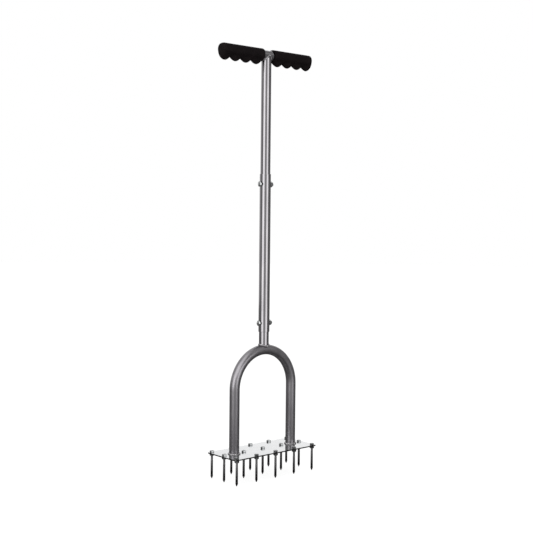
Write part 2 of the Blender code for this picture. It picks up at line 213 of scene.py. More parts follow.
@dataclass(frozen=True)
class BrightPlating:
    """Bright nickel chrome or zinc plating on smooth steel: a mirror that faint waves under it bend.

    Polishing lines blur it a little. The real ones are finer than a pixel, so they are drawn coarser.
    """

    name: str
    colour: str
    dull_colour: str
    roughness: float
    bare_metal: float = 1.0
    haze: float = 12 * MM
    haze_band: Pair = (0.35, 0.7)
    dull_band: Pair = (0.3, 0.75)
    dulling: float = 1.8
    wave: float = 30 * MM
    wave_depth: float = 0.012 * MM
    scratch_width: float = 0.35 * MM
    scratch_stretch: float = 26.0
    scratch_depth: float = 0.002 * MM

    def edged(self, made: SurfaceTree, colour: Socket, roughness: Socket) -> tuple[Socket, Socket]:
        """Leave colour and roughness, since a fastener has no sheared edge or painted dark reflection."""
        return colour, roughness

    def material(self) -> Material:
        """Build the material.

        Returns:
            The material.
        """
        made = SurfaceTree(self.name)
        haze = made.noise(self.haze)
        sheen = (haze, *self.dull_band, self.roughness, self.dulling * self.roughness)
        colour = made.blend(haze, self.haze_band, self.colour, self.dull_colour)
        colour, roughness = self.edged(made, colour, made.add(MAP_RANGE, sheen)[0])
        waves = made.noise(self.wave, detail=0.5)
        scratches = made.noise(self.scratch_width, (self.scratch_stretch, 1, 1))
        waved = made.add("ShaderNodeBump", {"Height": waves, "Distance": self.wave_depth})[0]
        relief = {"Height": scratches, "Distance": self.scratch_depth, "Normal": waved}
        return made.finished(
            Base_Color=colour,
            Metallic=self.bare_metal,
            Roughness=roughness,
            Normal=made.add("ShaderNodeBump", relief)[0],
        )


@dataclass(frozen=True, kw_only=True)
class PlatedSheet(BrightPlating):
    """Bright plating on a sheet whose sheared edges are rough, with a painted dark reflection along them."""

    half_length: float
    half_width: float
    edge_reflection_colour: str = "#39383a"
    edge_roughness: float = 0.42
    edge_width: float = 0.3 * MM

    def edged(self, made: SurfaceTree, colour: Socket, roughness: Socket) -> tuple[Socket, Socket]:
        """Paint a dark reflection along the sheet's edges, and roughen them.

        Args:
            made: the finish's tree.
            colour: colour of the faces.
            roughness: roughness of the faces.

        Returns:
            Colour and roughness with the edges in them.
        """
        x, y, _ = made.add("ShaderNodeSeparateXYZ", (made.place,))
        beyond = []
        for axis, half in ((x, self.half_length), (y, self.half_width)):
            reach = made.add(MATH, (axis,), operation="ABSOLUTE")[0]
            beyond.append(made.add(MATH, (reach, half - self.edge_width), operation="GREATER_THAN")[0])
        edge = made.add(MATH, (beyond[0], beyond[1]), operation="MAXIMUM")[0]
        # painted reflection: the sheet's edges are painted dark
        colours = {"Factor": edge, 6: colour, 7: linear(self.edge_reflection_colour)}
        dull = made.add(MAP_RANGE, {0: edge, 3: roughness, 4: self.edge_roughness})[0]
        return made.add(MIX, colours, data_type="RGBA")[2], dull


@dataclass(frozen=True)
class TubeEnamel:
    """Metallic stoving enamel sprayed on drawn steel tube: soft mirror streaks under a thin clear gloss.

    The real flakes are far finer than a pixel, so they are drawn coarser.
    """

    name: str
    colour: str
    shade: str
    roughness: float
    metallic: float
    clear_gloss: float
    gloss_roughness: float = 0.08
    cloud: float = 18 * MM
    cloud_stretch: float = 4.0
    cloud_band: Pair = (0.3, 0.75)
    peel: float = 2.2 * MM
    peel_depth: float = 0.004 * MM
    flake: float = 0.4 * MM
    flake_band: Pair = (0.3, 0.7)
    flake_gloss: Pair = (0.9, 1.15)

    def material(self) -> Material:
        """Build the material.

        Returns:
            The material.
        """
        made = SurfaceTree(self.name)
        cloud = made.noise(self.cloud, (1, 1, self.cloud_stretch))
        flakes = made.noise(self.flake, detail=1.0)
        peel = made.noise(self.peel, detail=1.0)
        glossy, dull = (share * self.roughness for share in self.flake_gloss)
        sheen = (flakes, *self.flake_band, glossy, dull)
        return made.finished(
            Base_Color=made.blend(cloud, self.cloud_band, self.colour, self.shade),
            Metallic=self.metallic,
            Roughness=made.add(MAP_RANGE, sheen)[0],
            Coat_Weight=self.clear_gloss,
            Coat_Roughness=self.gloss_roughness,
            Normal=made.add("ShaderNodeBump", {"Height": peel, "Distance": self.peel_depth})[0],
        )


@dataclass(frozen=True)
class SpikeSteel:
    """Drawn spike steel, with painted shade darkening it towards its tip, and a zinc plated end above the
    sheet.

    The painted shade is patchy, and drawing lines pull its highlights along the spike. The real
    lines are finer than a pixel, so they are drawn coarser.
    """

    name: str
    top_colour: str
    tip_colour: str
    plated_colour: str
    dark_up_to: float
    light_from: float
    plated_from: float
    skin_metallic: float = 0.6
    roughness: float = 0.34
    blotch: float = 7 * MM
    blotch_stretch: float = 3.0
    blotch_rise: float = 6 * MM
    line_width: float = 0.4 * MM
    line_stretch: float = 40.0
    line_depth: float = 0.003 * MM
    line_band: Pair = (0.25, 0.75)
    line_gloss: Pair = (0.8, 1.3)

    def material(self) -> Material:
        """Build the material.

        Returns:
            The material.
        """
        made = SurfaceTree(self.name)
        height = made.add("ShaderNodeSeparateXYZ", (made.place,))["Z"]
        blotch = made.noise(self.blotch, (1, 1, self.blotch_stretch))
        rise = made.add(MAP_RANGE, {0: blotch, 3: -self.blotch_rise, 4: self.blotch_rise})[0]
        level = made.add(MATH, (height, rise), operation="ADD")[0]
        # painted shade: the steel is painted dark at its tip and lighter up towards the sheet
        shaded_to_tip = made.blend(level, (self.dark_up_to, self.light_from), self.tip_colour, self.top_colour)
        plated = made.add(MATH, (height, self.plated_from), operation="GREATER_THAN")[0]
        colours = {"Factor": plated, 6: shaded_to_tip, 7: linear(self.plated_colour)}
        lines = made.noise(self.line_width, (1, 1, self.line_stretch))
        glossy, dull = (share * self.roughness for share in self.line_gloss)
        sheen = (lines, *self.line_band, glossy, dull)
        return made.finished(
            Base_Color=made.add(MIX, colours, data_type="RGBA")[2],
            Metallic=made.add(MAP_RANGE, {0: plated, 3: self.skin_metallic, 4: 1.0})[0],
            Roughness=made.add(MAP_RANGE, sheen)[0],
            Normal=made.add("ShaderNodeBump", {"Height": lines, "Distance": self.line_depth})[0],
        )


@dataclass(frozen=True)
class GripRubber:
    """Black moulded rubber: matte, since the fine pebble of a spark-eroded mould scatters its highlights.

    The real pebble is finer than a pixel, so it is drawn coarser.
    """

    name: str
    colour: str
    worn_colour: str
    pebble: float = 0.9 * MM
    pebble_depth: float = 0.02 * MM
    bloom: float = 16 * MM
    colour_band: Pair = (0.45, 0.8)
    sheen_band: Pair = (0.3, 0.8)
    roughness: float = 0.72
    worn_roughness: float = 0.6
    specular: float = 0.18

    def material(self) -> Material:
        """Build the material.

        Returns:
            The material.
        """
        made = SurfaceTree(self.name)
        cells = {"Vector": made.place, "Scale": 1.0 / self.pebble}
        pebbles = made.add("ShaderNodeTexVoronoi", cells)["Distance"]
        bloom = made.noise(self.bloom)
        sheen = (bloom, *self.sheen_band, self.roughness, self.worn_roughness)
        return made.finished(
            Base_Color=made.blend(bloom, self.colour_band, self.colour, self.worn_colour),
            Roughness=made.add(MAP_RANGE, sheen)[0],
            Specular_IOR_Level=self.specular,
            Normal=made.add("ShaderNodeBump", {"Height": pebbles, "Distance": self.pebble_depth})[0],
        )


# Meshes


def linked(name: str, data: bpy.types.ID) -> bpy.types.Object:
    """Make an object and link it to the scene.

    Args:
        name: its name.
        data: its mesh, lamp or camera.

    Returns:
        The object.
    """
    thing = bpy.data.objects.new(name, data)
    bpy.context.scene.collection.objects.link(thing)
    return thing


def turns(sides: int) -> list[float]:
    """Angles of a ring's points, evenly spread from zero."""
    return [TAU * index / sides for index in range(sides)]


def circle_ring(radius: float, height: float, sides: int) -> Ring:
    """Level ring of points round Z, first point at +X."""
    return [Vector((radius * math.cos(a), radius * math.sin(a), height)) for a in turns(sides)]


def add_wall(shell: bmesh.types.BMesh, rings: Sequence[Ring], closed_loop: bool = False) -> list[list]:
    """Join a row of equal rings by faces.

    Args:
        shell: shape that gets the faces.
        rings: rings of points, each with as many points as the others.
        closed_loop: joins the last ring to the first.

    Returns:
        The new corners, ring by ring.
    """
    rows = [[shell.verts.new(point) for point in ring] for ring in rings]
    pairs = list(zip(rows, rows[1:]))
    if closed_loop:
        pairs.append((rows[-1], rows[0]))
    for low, high in pairs:
        for index in range(len(low)):
            after = (index + 1) % len(low)
            shell.faces.new((low[index], low[after], high[after], high[index]))
    return rows


def close_mesh(shell: bmesh.types.BMesh) -> Mesh:
    """Point a shape's faces outward and turn it into a mesh.

    Args:
        shell: the shape, which is freed.

    Returns:
        The mesh.
    """
    bmesh.ops.recalc_face_normals(shell, faces=shell.faces)
    mesh = bpy.data.meshes.new("shape")
    shell.to_mesh(mesh)
    shell.free()
    return mesh


def skin(rings: Sequence[Ring], closed_loop: bool = False) -> Mesh:
    """Skin a row of equal rings.

    Args:
        rings: rings of points, each with as many points as the others.
        closed_loop: joins the last ring to the first, where the ends would be capped.

    Returns:
        A closed mesh with its faces outward.
    """
    shell = bmesh.new()
    rows = add_wall(shell, rings, closed_loop)
    if not closed_loop:
        shell.faces.new(list(reversed(rows[0])))
        shell.faces.new(rows[-1])
    return close_mesh(shell)


def revolve(outline: Outline, sides: int, closed_loop: bool = True) -> Mesh:
    """Turn (radius, height) pairs round Z; a closed outline makes a ring, an open one a solid."""
    return skin([circle_ring(radius, height, sides) for radius, height in outline], closed_loop)


def soften(outline: Outline, radius: float, steps: int = 4, flat_from: float = 1.4) -> Outline:
    """Round the corners of a closed outline.

    Args:
        outline: corner points.
        radius: how far along each side the rounding starts, under a third of the side.
        steps: how many points follow each rounding.
        flat_from: how many radii from the corner the point lies that keeps the side's shading flat.

    Returns:
        The outline with a short curve in place of each corner.
    """
    rounded = []
    for index, corner in enumerate(outline):
        point = Vector(corner)
        before = (Vector(outline[index - 1]) - point).normalized() * radius
        after = (Vector(outline[(index + 1) % len(outline)]) - point).normalized() * radius
        places = [point + flat_from * before]
        for step in range(steps + 1):
            share = step / steps
            places.append(point + before * (1 - share) ** 2 + after * share**2)
        places.append(point + flat_from * after)
        rounded += [(place.x, place.y) for place in places]
    return rounded


def straight_tube(outer: float, wall: float, span: Pair, edge: float, sides: int) -> Mesh:
    """Open tube round Z with softened ends.

    Args:
        outer: its outer radius.
        wall: thickness of its wall.
        span: heights of its lower and upper end.
        edge: radius of its softened edges.
        sides: how many points go round it.

    Returns:
        The tube's mesh.
    """
    inner = outer - wall
    low, high = span
    return revolve(soften([(outer, low), (outer, high), (inner, high), (inner, low)], edge), sides)


def lie_along_x(mesh: Mesh, sign: int = 1) -> Mesh:
    """Turn a mesh so that what pointed up points along X, to the side that the sign gives."""
    mesh.transform(Matrix.Rotation(sign * math.radians(90), 4, "Y"))
    return mesh


def moved(mesh: Mesh, place: Vector) -> Mesh:
    """Move a mesh's own points."""
    mesh.transform(Matrix.Translation(place))
    return mesh


def baked(thing: bpy.types.Object) -> Mesh:
    """Turn an object's modifiers into a plain mesh.

    Args:
        thing: the object, which is removed.

    Returns:
        The mesh.
    """
    depsgraph = bpy.context.evaluated_depsgraph_get()
    mesh = bpy.data.meshes.new_from_object(thing.evaluated_get(depsgraph))
    bpy.data.objects.remove(thing)
    return mesh


def bored(mesh: Mesh, cutters: Sequence[Mesh]) -> Mesh:
    """Cut holes in a mesh.

    Args:
        mesh: the solid.
        cutters: closed meshes that are taken out of it.

    Returns:
        The mesh with its holes.
    """
    thing = linked("scratch", mesh)
    helpers = [linked("cutter", cutter) for cutter in cutters]
    for helper in helpers:
        modifier = thing.modifiers.new("hole", "BOOLEAN")
        modifier.operation = "DIFFERENCE"
        modifier.solver = "EXACT"
        modifier.object = helper
    cut = baked(thing)
    for helper in helpers:
        bpy.data.objects.remove(helper)
    return cut


def add_piece(
    name: str,
    mesh: Mesh,
    material: Material,
    nodes: Sequence[str] = (),
    crease: float = 35.0,
) -> None:
    """Link a finished mesh as a piece of the tool.

    Args:
        name: the piece's name.
        mesh: its mesh, in place.
        material: its finish.
        nodes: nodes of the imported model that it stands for.
        crease: angle in degrees past which an edge stays sharp.
    """
    mesh.name = name
    mesh.materials.clear()
    mesh.materials.append(material)
    mesh.shade_smooth()
    mesh.set_sharp_from_angle(angle=math.radians(crease))
    piece = linked(name, mesh)
    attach(piece, BODY)
    if nodes:
        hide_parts(*nodes)
    LOG.info("%s: %d faces", name, len(mesh.polygons))


# Threads, copies and weld beads


@dataclass(frozen=True)
class Thread:
    """A metric screw thread."""

    pitch: float
    depth: float
    rows_per_turn: int

    def heights(self, low: float, high: float) -> list[float]:
        """Heights of the rings that the thread needs, from low to high."""
        count = math.ceil((high - low) / self.pitch * self.rows_per_turn)
        return [low + (high - low) * index / count for index in range(count + 1)]


class ShapeTree(Nodes):
    """A geometry node tree with named inputs, which is run on a mesh and baked."""

    def __init__(self, name: str, inputs: dict[str, str]) -> None:
        """Start the tree.

        Args:
            name: the tree's name.
            inputs: socket type of each input after the geometry, by the input's name.
        """
        super().__init__(bpy.data.node_groups.new(name, "GeometryNodeTree"))
        interface = self.tree.interface
        interface.new_socket("Geometry", in_out="INPUT", socket_type="NodeSocketGeometry")
        interface.new_socket("Geometry", in_out="OUTPUT", socket_type="NodeSocketGeometry")
        self.identifiers = {}
        for label, kind in (inputs | {"Material": "NodeSocketMaterial"}).items():
            self.identifiers[label] = interface.new_socket(label, in_out="INPUT", socket_type=kind).identifier
        self.given = self.add("NodeGroupInput")

    def end_with(self, geometry: Socket) -> None:
        """Close the tree with real geometry and its material.

        Args:
            geometry: what the tree has made.
        """
        real = self.add("GeometryNodeRealizeInstances", {"Geometry": geometry})[0]
        inputs = {"Geometry": real, "Material": self.given["Material"]}
        self.add("NodeGroupOutput", (self.add("GeometryNodeSetMaterial", inputs)[0],))

    def run(self, mesh: Mesh, material: Material, values: dict[str, object]) -> Mesh:
        """Run the tree on a mesh.

        Args:
            mesh: what the tree starts from.
            material: finish of what it makes.
            values: value of each other input, by the input's name.

        Returns:
            The result as a plain mesh.
        """
        thing = linked("scratch", mesh)
        modifier = thing.modifiers.new(self.tree.name, "NODES")
        modifier.node_group = self.tree
        for label, value in (values | {"Material": material}).items():
            modifier[self.identifiers[label]] = value
        return baked(thing)


class ThreadTree(ShapeTree):
    """Presses a rolled screw thread into a shank that runs along Z."""

    def __init__(self) -> None:
        """Build the tree, whose groove is a cosine wave that fades over one turn at each end."""
        super().__init__("rolled_thread", dict.fromkeys(("Pitch", "Depth", "Low", "High"), FLOAT))
        pitch, low, high = (self.given[name] for name in ("Pitch", "Low", "High"))
        x, y, z = self.add("ShaderNodeSeparateXYZ", (self.add("GeometryNodeInputPosition")[0],))
        angle = self.add(MATH, (y, x), operation="ARCTAN2")[0]
        turn = self.add(MATH, (angle, TAU), operation="DIVIDE")[0]
        climb = self.add(MATH, (z, pitch), operation="DIVIDE")[0]
        lead = self.add(MATH, (climb, turn), operation="SUBTRACT")[0]
        phase = self.add(MATH, (lead, TAU), operation="MULTIPLY")[0]
        wave = self.add(MATH, (phase,), operation="COSINE")[0]
        groove = self.add(MATH, (wave, -0.5, 0.5), operation="MULTIPLY_ADD")[0]
        first_turn = self.add(MATH, (low, pitch), operation="ADD")[0]
        last_turn = self.add(MATH, (high, pitch), operation="SUBTRACT")[0]
        inward = self.add(MAP_RANGE, (z, low, first_turn))[0]
        run_out = self.add(MAP_RANGE, (z, high, last_turn))[0]
        for factor in (run_out, groove, self.given["Depth"], -1.0):
            inward = self.add(MATH, (inward, factor), operation="MULTIPLY")[0]
        level = self.add("ShaderNodeCombineXYZ", (x, y))[0]
        outward = self.add(VECTOR_MATH, (level,), operation="NORMALIZE")[0]
        shift = self.add(VECTOR_MATH, {0: outward, "Scale": inward}, operation="SCALE")[0]
        inputs = {"Geometry": self.given["Geometry"], "Offset": shift}
        self.end_with(self.add("GeometryNodeSetPosition", inputs)[0])

    def pressed(self, shank: Mesh, thread: Thread, low: float, high: float, material: Material) -> Mesh:
        """Press a thread from a low to a high level into a shank that has rings at the thread's heights."""
        values = {"Pitch": thread.pitch, "Depth": thread.depth, "Low": low, "High": high}
        return self.run(shank, material, values)


class CopiesTree(ShapeTree):
    """Puts a copy of a part on each point, each turned round Z by its own angle."""

    def __init__(self) -> None:
        """Build the tree."""
        kinds = {"Part": "NodeSocketObject", "Turn": FLOAT, "Turn Spread": FLOAT, "Seed": "NodeSocketInt"}
        super().__init__("copies_on_points", kinds)
        given = self.given
        part = self.add("GeometryNodeObjectInfo", {"Object": given["Part"], "As Instance": True})["Geometry"]
        sides = (given["Turn"], given["Turn Spread"])
        least, most = (self.add(MATH, sides, operation=sign)[0] for sign in ("SUBTRACT", "ADD"))
        dice = {2: least, 3: most, "Seed": given["Seed"]}
        angle = self.add("FunctionNodeRandomValue", dice, data_type="FLOAT")[1]
        turn = self.add("ShaderNodeCombineXYZ", {2: angle})[0]
        inputs = {"Points": given["Geometry"], "Instance": part, "Rotation": turn}
        self.end_with(self.add("GeometryNodeInstanceOnPoints", inputs)[0])

    def copies(
        self, part: Mesh, points: Sequence[Vector], material: Material, turn: float, spread: float, seed: int
    ) -> Mesh:
        """Copy a part onto points.

        Args:
            part: mesh of one part, round the origin.
            points: where the copies go.
            material: their finish.
            turn: mean angle about Z, in degrees.
            spread: how far an angle may differ from the mean, in degrees.
            seed: seed of the random angles.

        Returns:
            All the copies in one mesh.
        """
        carrier = bpy.data.meshes.new("points")
        carrier.from_pydata(points, [], [])
        source = linked("part", part)
        angles = {"Turn": math.radians(turn), "Turn Spread": math.radians(spread), "Seed": seed}
        mesh = self.run(carrier, material, {"Part": source} | angles)
        bpy.data.objects.remove(source)
        return mesh


class BeadTree(ShapeTree):
    """Lays a weld bead along a closed path, with a little chance in its ripples, its width and its line."""

    SIDES = 14
    RIPPLE = 3.2 * MM
    STEPS_PER_RIPPLE = 7
    RIPPLE_DEPTH = 0.34
    WANDER = 2.0 * MM
    UNEVEN_OVER = 6 * MM
    UNEVEN_RIPPLES = 1.5
    UNEVEN_BAND = (0.3, 0.7)
    SWELL = (0.64, 1.36)

    def __init__(self, finish: Material) -> None:
        """Build the tree.

        Args:
            finish: finish of all its beads.
        """
        self.finish = finish
        numbers = ("Bead Radius", "Ripple", "Ripple Depth", "Wander")
        super().__init__("weld_bead", dict.fromkeys(numbers, FLOAT) | {"Seed": "NodeSocketInt"})
        given = self.given
        path = self.add("GeometryNodeMeshToCurve", {"Mesh": given["Geometry"]})[0]
        step = self.add(MATH, (given["Ripple"], self.STEPS_PER_RIPPLE), operation="DIVIDE")[0]
        fine = self.add("GeometryNodeResampleCurve", {"Curve": path, "Length": step}, mode="LENGTH")[0]
        place = self.add("GeometryNodeInputPosition")[0]
        patches = {"Vector": place, "W": given["Seed"], "Scale": 1.0 / self.UNEVEN_OVER, "Detail": 2.0}
        value, colour = self.add("ShaderNodeTexNoise", patches, noise_dimensions="4D")
        along = self.add("GeometryNodeSplineParameter")["Length"]
        count = self.add(MATH, (along, given["Ripple"]), operation="DIVIDE")[0]
        uneven = self.add(MATH, (value, self.UNEVEN_RIPPLES), operation="MULTIPLY")[0]
        ripples = self.add(MATH, (count, uneven), operation="ADD")[0]
        pulse = self.add(MATH, (ripples,), operation="FRACT")[0]
        square = self.add(MATH, (pulse, 2.0), operation="POWER")[0]
        hollow = self.add(MATH, (square, given["Ripple Depth"]), operation="MULTIPLY")[0]
        full = self.add(MATH, (1.0, hollow), operation="SUBTRACT")[0]
        radius = self.add(MAP_RANGE, (value, *self.UNEVEN_BAND, *self.SWELL))[0]
        for factor in (full, given["Bead Radius"]):
            radius = self.add(MATH, (radius, factor), operation="MULTIPLY")[0]
        centred = self.add(VECTOR_MATH, (colour, (0.5, 0.5, 0.5)), operation="SUBTRACT")[0]
        drift = self.add(VECTOR_MATH, {0: centred, "Scale": given["Wander"]}, operation="SCALE")[0]
        wandering = self.add("GeometryNodeSetPosition", {"Geometry": fine, "Offset": drift})[0]
        profile = self.add("GeometryNodeCurvePrimitiveCircle", {"Resolution": self.SIDES, "Radius": 1.0})[0]
        inputs = {"Curve": wandering, "Profile Curve": profile, "Scale": radius}
        self.end_with(self.add("GeometryNodeCurveToMesh", inputs)[0])

    def weld(self, name: str, slot: Slot, path: Sequence[Vector], radius: float, seed: int) -> None:
        """Lay a bead, as a piece of its own.

        Args:
            name: the piece's name.
            slot: the record's material slot for its finish, which is not used.
            path: points of the closed path.
            radius: the bead's mean radius.
            seed: seed of its unevenness.
        """
        count = len(path)
        carrier = bpy.data.meshes.new("path")
        carrier.from_pydata(path, [(index, (index + 1) % count) for index in range(count)], [])
        values = {
            "Bead Radius": radius,
            "Ripple": self.RIPPLE,
            "Ripple Depth": self.RIPPLE_DEPTH,
            "Wander": self.WANDER,
            "Seed": seed,
        }
        add_piece(name, self.run(carrier, self.finish, values), self.finish, crease=60)


# Sub-assemblies


@dataclass(frozen=True)
class Place:
    """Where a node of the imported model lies."""

    low: Vector
    high: Vector

    @classmethod
    def of(cls, node: str) -> "Place":
        """Read a node's place from the frame."""
        return cls(*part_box(node))

    @property
    def centre(self) -> Vector:
        """Middle of the node's box."""
        return (self.low + self.high) / 2

    @property
    def size(self) -> Vector:
        """Length of the box along each axis."""
        return self.high - self.low


@dataclass(frozen=True)
class HexShape:
    """Six-sided outline of a nut or bolt head, with its corners chamfered."""

    flats: float
    flat_share: float = 0.94
    sides: int = 72

    @property
    def face_radius(self) -> float:
        """Radius of the flat round face inside the chamfer."""
        return self.flat_share * self.flats / 2

    def ring(self, height: float, chamfer: int = 0) -> Ring:
        """Hexagon of points.

        Args:
            height: where its flats would meet the face.
            chamfer: 1 lowers the corners and -1 raises them, as a chamfer does.

        Returns:
            The ring, with a corner at +X.
        """
        points = []
        for angle in turns(self.sides):
            within = angle % math.radians(60) - math.radians(30)
            radius = self.flats / 2 / math.cos(within)
            drop = chamfer * (radius - self.face_radius) * math.tan(math.radians(30))
            points.append(Vector((radius * math.cos(angle), radius * math.sin(angle), height - drop)))
        return points


@dataclass(frozen=True)
class HexNut:
    """Hexagon nut, chamfered on both faces, with a countersunk bore."""

    flats: float
    height: float
    bore: float
    countersink: float = 0.5 * MM

    def mesh(self) -> Mesh:
        """Build the nut, from zero up to its height.

        Returns:
            Its mesh.
        """
        shape = HexShape(self.flats)
        sides, sunk = shape.sides, self.bore + self.countersink
        rings = [
            circle_ring(self.bore, self.countersink, sides),
            circle_ring(sunk, 0.0, sides),
            circle_ring(shape.face_radius, 0.0, sides),
            shape.ring(0.0, -1),
            shape.ring(self.height, 1),
            circle_ring(shape.face_radius, self.height, sides),
            circle_ring(sunk, self.height, sides),
            circle_ring(self.bore, self.height - self.countersink, sides),
        ]
        return skin(rings, closed_loop=True)


@dataclass
class PlateAssembly:
    """Plated sheet with its fifteen spikes, each clamped between two nuts.

    A pair in a spike's sizes places a point of its outline by a share of the radius and one of the length.
    """

    threads: ThreadTree
    copies: CopiesTree
    sheet_finish: Material
    nut_finish: Material
    spike_finish: Material
    row_count: int = 3
    column_count: int = 5
    edge_radius: float = 0.25 * MM
    edge_steps: int = 4
    corner_radius: float = 3.0 * MM
    corner_steps: int = 8
    hole_radius: float = 3.3 * MM
    hole_sides: int = 32
    thread: Thread = Thread(pitch=1.0 * MM, depth=0.42 * MM, rows_per_turn=6)
    thread_radius: float = 3.0 * MM
    thread_below_nut: float = 12 * MM
    shank_radius: float = 2.97 * MM
    spike_sides: int = 24
    tip_radius: float = 0.95 * MM
    tip_flat: float = 0.5
    tip_height: float = 0.4
    point_length: float = 5.6 * MM
    point_middle: Pair = (0.6, 0.46)
    point_shoulder: float = 0.95
    flare: float = 0.15 * MM
    flare_length: float = 5.0 * MM
    flare_shoulder: Pair = (0.7, 0.4)
    end_chamfer: float = 0.5 * MM
    end_above_nut: float = 0.5 * MM
    top_nut_height: float = 4.0 * MM
    nut_flats: float = 10 * MM
    top_nut_turn: float = 39.5
    lower_nut_turn: float = 15.0
    nut_turn_spread: float = 4.0

    def __post_init__(self) -> None:
        """Read the places of the sheet, the spikes and the nuts."""
        rows, columns = range(1, self.row_count + 1), range(1, self.column_count + 1)
        self.endings = [f"r{row}c{column}" for row in rows for column in columns]
        self.sheet = Place.of("spike_plate")
        self.spikes = [Place.of("spike_" + ending) for ending in self.endings]
        self.top_nut = Place.of("top_nut_r1c1")
        self.lower_nut = Place.of("lower_nut_r1c1")

    def sheet_outline(self, inset: float) -> Outline:
        """Outline of the sheet with round corners.

        Args:
            inset: how far it is drawn in.

        Returns:
            Its points.
        """
        half = self.sheet.size / 2
        radius = self.corner_radius - inset
        points = []
        for quarter, (sign_x, sign_y) in enumerate(((1, 1), (-1, 1), (-1, -1), (1, -1))):
            centre_x = sign_x * (half.x - self.corner_radius)
            centre_y = sign_y * (half.y - self.corner_radius)
            for step in range(self.corner_steps + 1):
                angle = math.radians(90) * (quarter + step / self.corner_steps)
                points.append((centre_x + radius * math.cos(angle), centre_y + radius * math.sin(angle)))
        return points

    def hole_outline(self, spot: Vector, inset: float) -> Outline:
        """Outline of the hole at a spot, widened by an inset."""
        ring = circle_ring(self.hole_radius + inset, 0.0, self.hole_sides)
        return [(spot.x + point.x, spot.y + point.y) for point in ring]

    def sheet_mesh(self) -> Mesh:
        """Build the sheet, with softened edges round its outline and its holes.

        Returns:
            Its mesh.
        """
        low, high, edge = self.sheet.low.z, self.sheet.high.z, self.edge_radius
        levels = []
        for step in range(self.edge_steps + 1):
            angle = math.radians(90) * step / self.edge_steps
            levels.append((edge * (1 - math.sin(angle)), low + edge * (1 - math.cos(angle))))
        levels += [(inset, low + high - height) for inset, height in reversed(levels)]
        shell = bmesh.new()
        walls = []
        holes = [partial(self.hole_outline, spike.centre) for spike in self.spikes]
        for outline in (self.sheet_outline, *holes):
            rings = [[Vector((x, y, height)) for x, y in outline(inset)] for inset, height in levels]
            walls.append(add_wall(shell, rings))
        for end in (0, -1):
            corners = [corner for rows in walls for corner in rows[end]]
            for triangle in tessellate_polygon([[corner.co for corner in rows[end]] for rows in walls]):
                shell.faces.new([corners[index] for index in triangle])
        return close_mesh(shell)

    def spike_mesh(self) -> Mesh:
        """One spike on the Z axis: blunt tip, forged point with a flare behind it, shank and thread.

        Returns:
            Its mesh.
        """
        top = self.top_nut.low.z + self.top_nut_height + self.end_above_nut
        thread_top = top - self.end_chamfer
        thread_end = self.lower_nut.low.z - self.thread_below_nut
        shank = self.shank_radius
        shoulder = shank + self.flare * self.flare_shoulder[0]
        outline = [
            (self.tip_radius * self.tip_flat, 0.0),
            (self.tip_radius, self.tip_radius * self.tip_height),
            (self.point_middle[0] * shank, self.point_middle[1] * self.point_length),
            (shoulder, self.point_shoulder * self.point_length),
            (shank + self.flare, self.point_length),
            (shoulder, self.point_length + self.flare_shoulder[1] * self.flare_length),
            (shank, self.point_length + self.flare_length),
            (shank, thread_end - (self.thread_radius - shank)),
        ]
        outline += [(self.thread_radius, height) for height in self.thread.heights(thread_end, thread_top)]
        outline.append((self.thread_radius - self.end_chamfer, top))
        blank = revolve(outline, self.spike_sides, closed_loop=False)
        return self.threads.pressed(blank, self.thread, thread_end, thread_top, self.spike_finish)

    def build(self) -> None:
        """Make the sheet, the spikes and the nuts."""
        add_piece("plate_sheet", self.sheet_mesh(), self.sheet_finish, ["spike_plate"], crease=8)
        spots = [Vector((spike.centre.x, spike.centre.y, 0.0)) for spike in self.spikes]
        finish, nodes = self.spike_finish, ["spike_" + ending for ending in self.endings]
        spikes = self.copies.copies(self.spike_mesh(), spots, finish, turn=0.0, spread=180.0, seed=3)
        add_piece("spikes", spikes, finish, nodes, crease=40)
        for name, place, height, turn, seed in (
            ("top_nut", self.top_nut, self.top_nut_height, self.top_nut_turn, 5),
            ("lower_nut", self.lower_nut, self.lower_nut.size.z, self.lower_nut_turn, 8),
        ):
            nut = HexNut(self.nut_flats, height, self.hole_radius).mesh()
            seats = [spot + Vector((0, 0, place.low.z)) for spot in spots]
            nuts = self.copies.copies(nut, seats, self.nut_finish, turn, self.nut_turn_spread, seed)
            nodes = [f"{name}_{ending}" for ending in self.endings]
            add_piece(name + "s", nuts, self.nut_finish, nodes, crease=25)


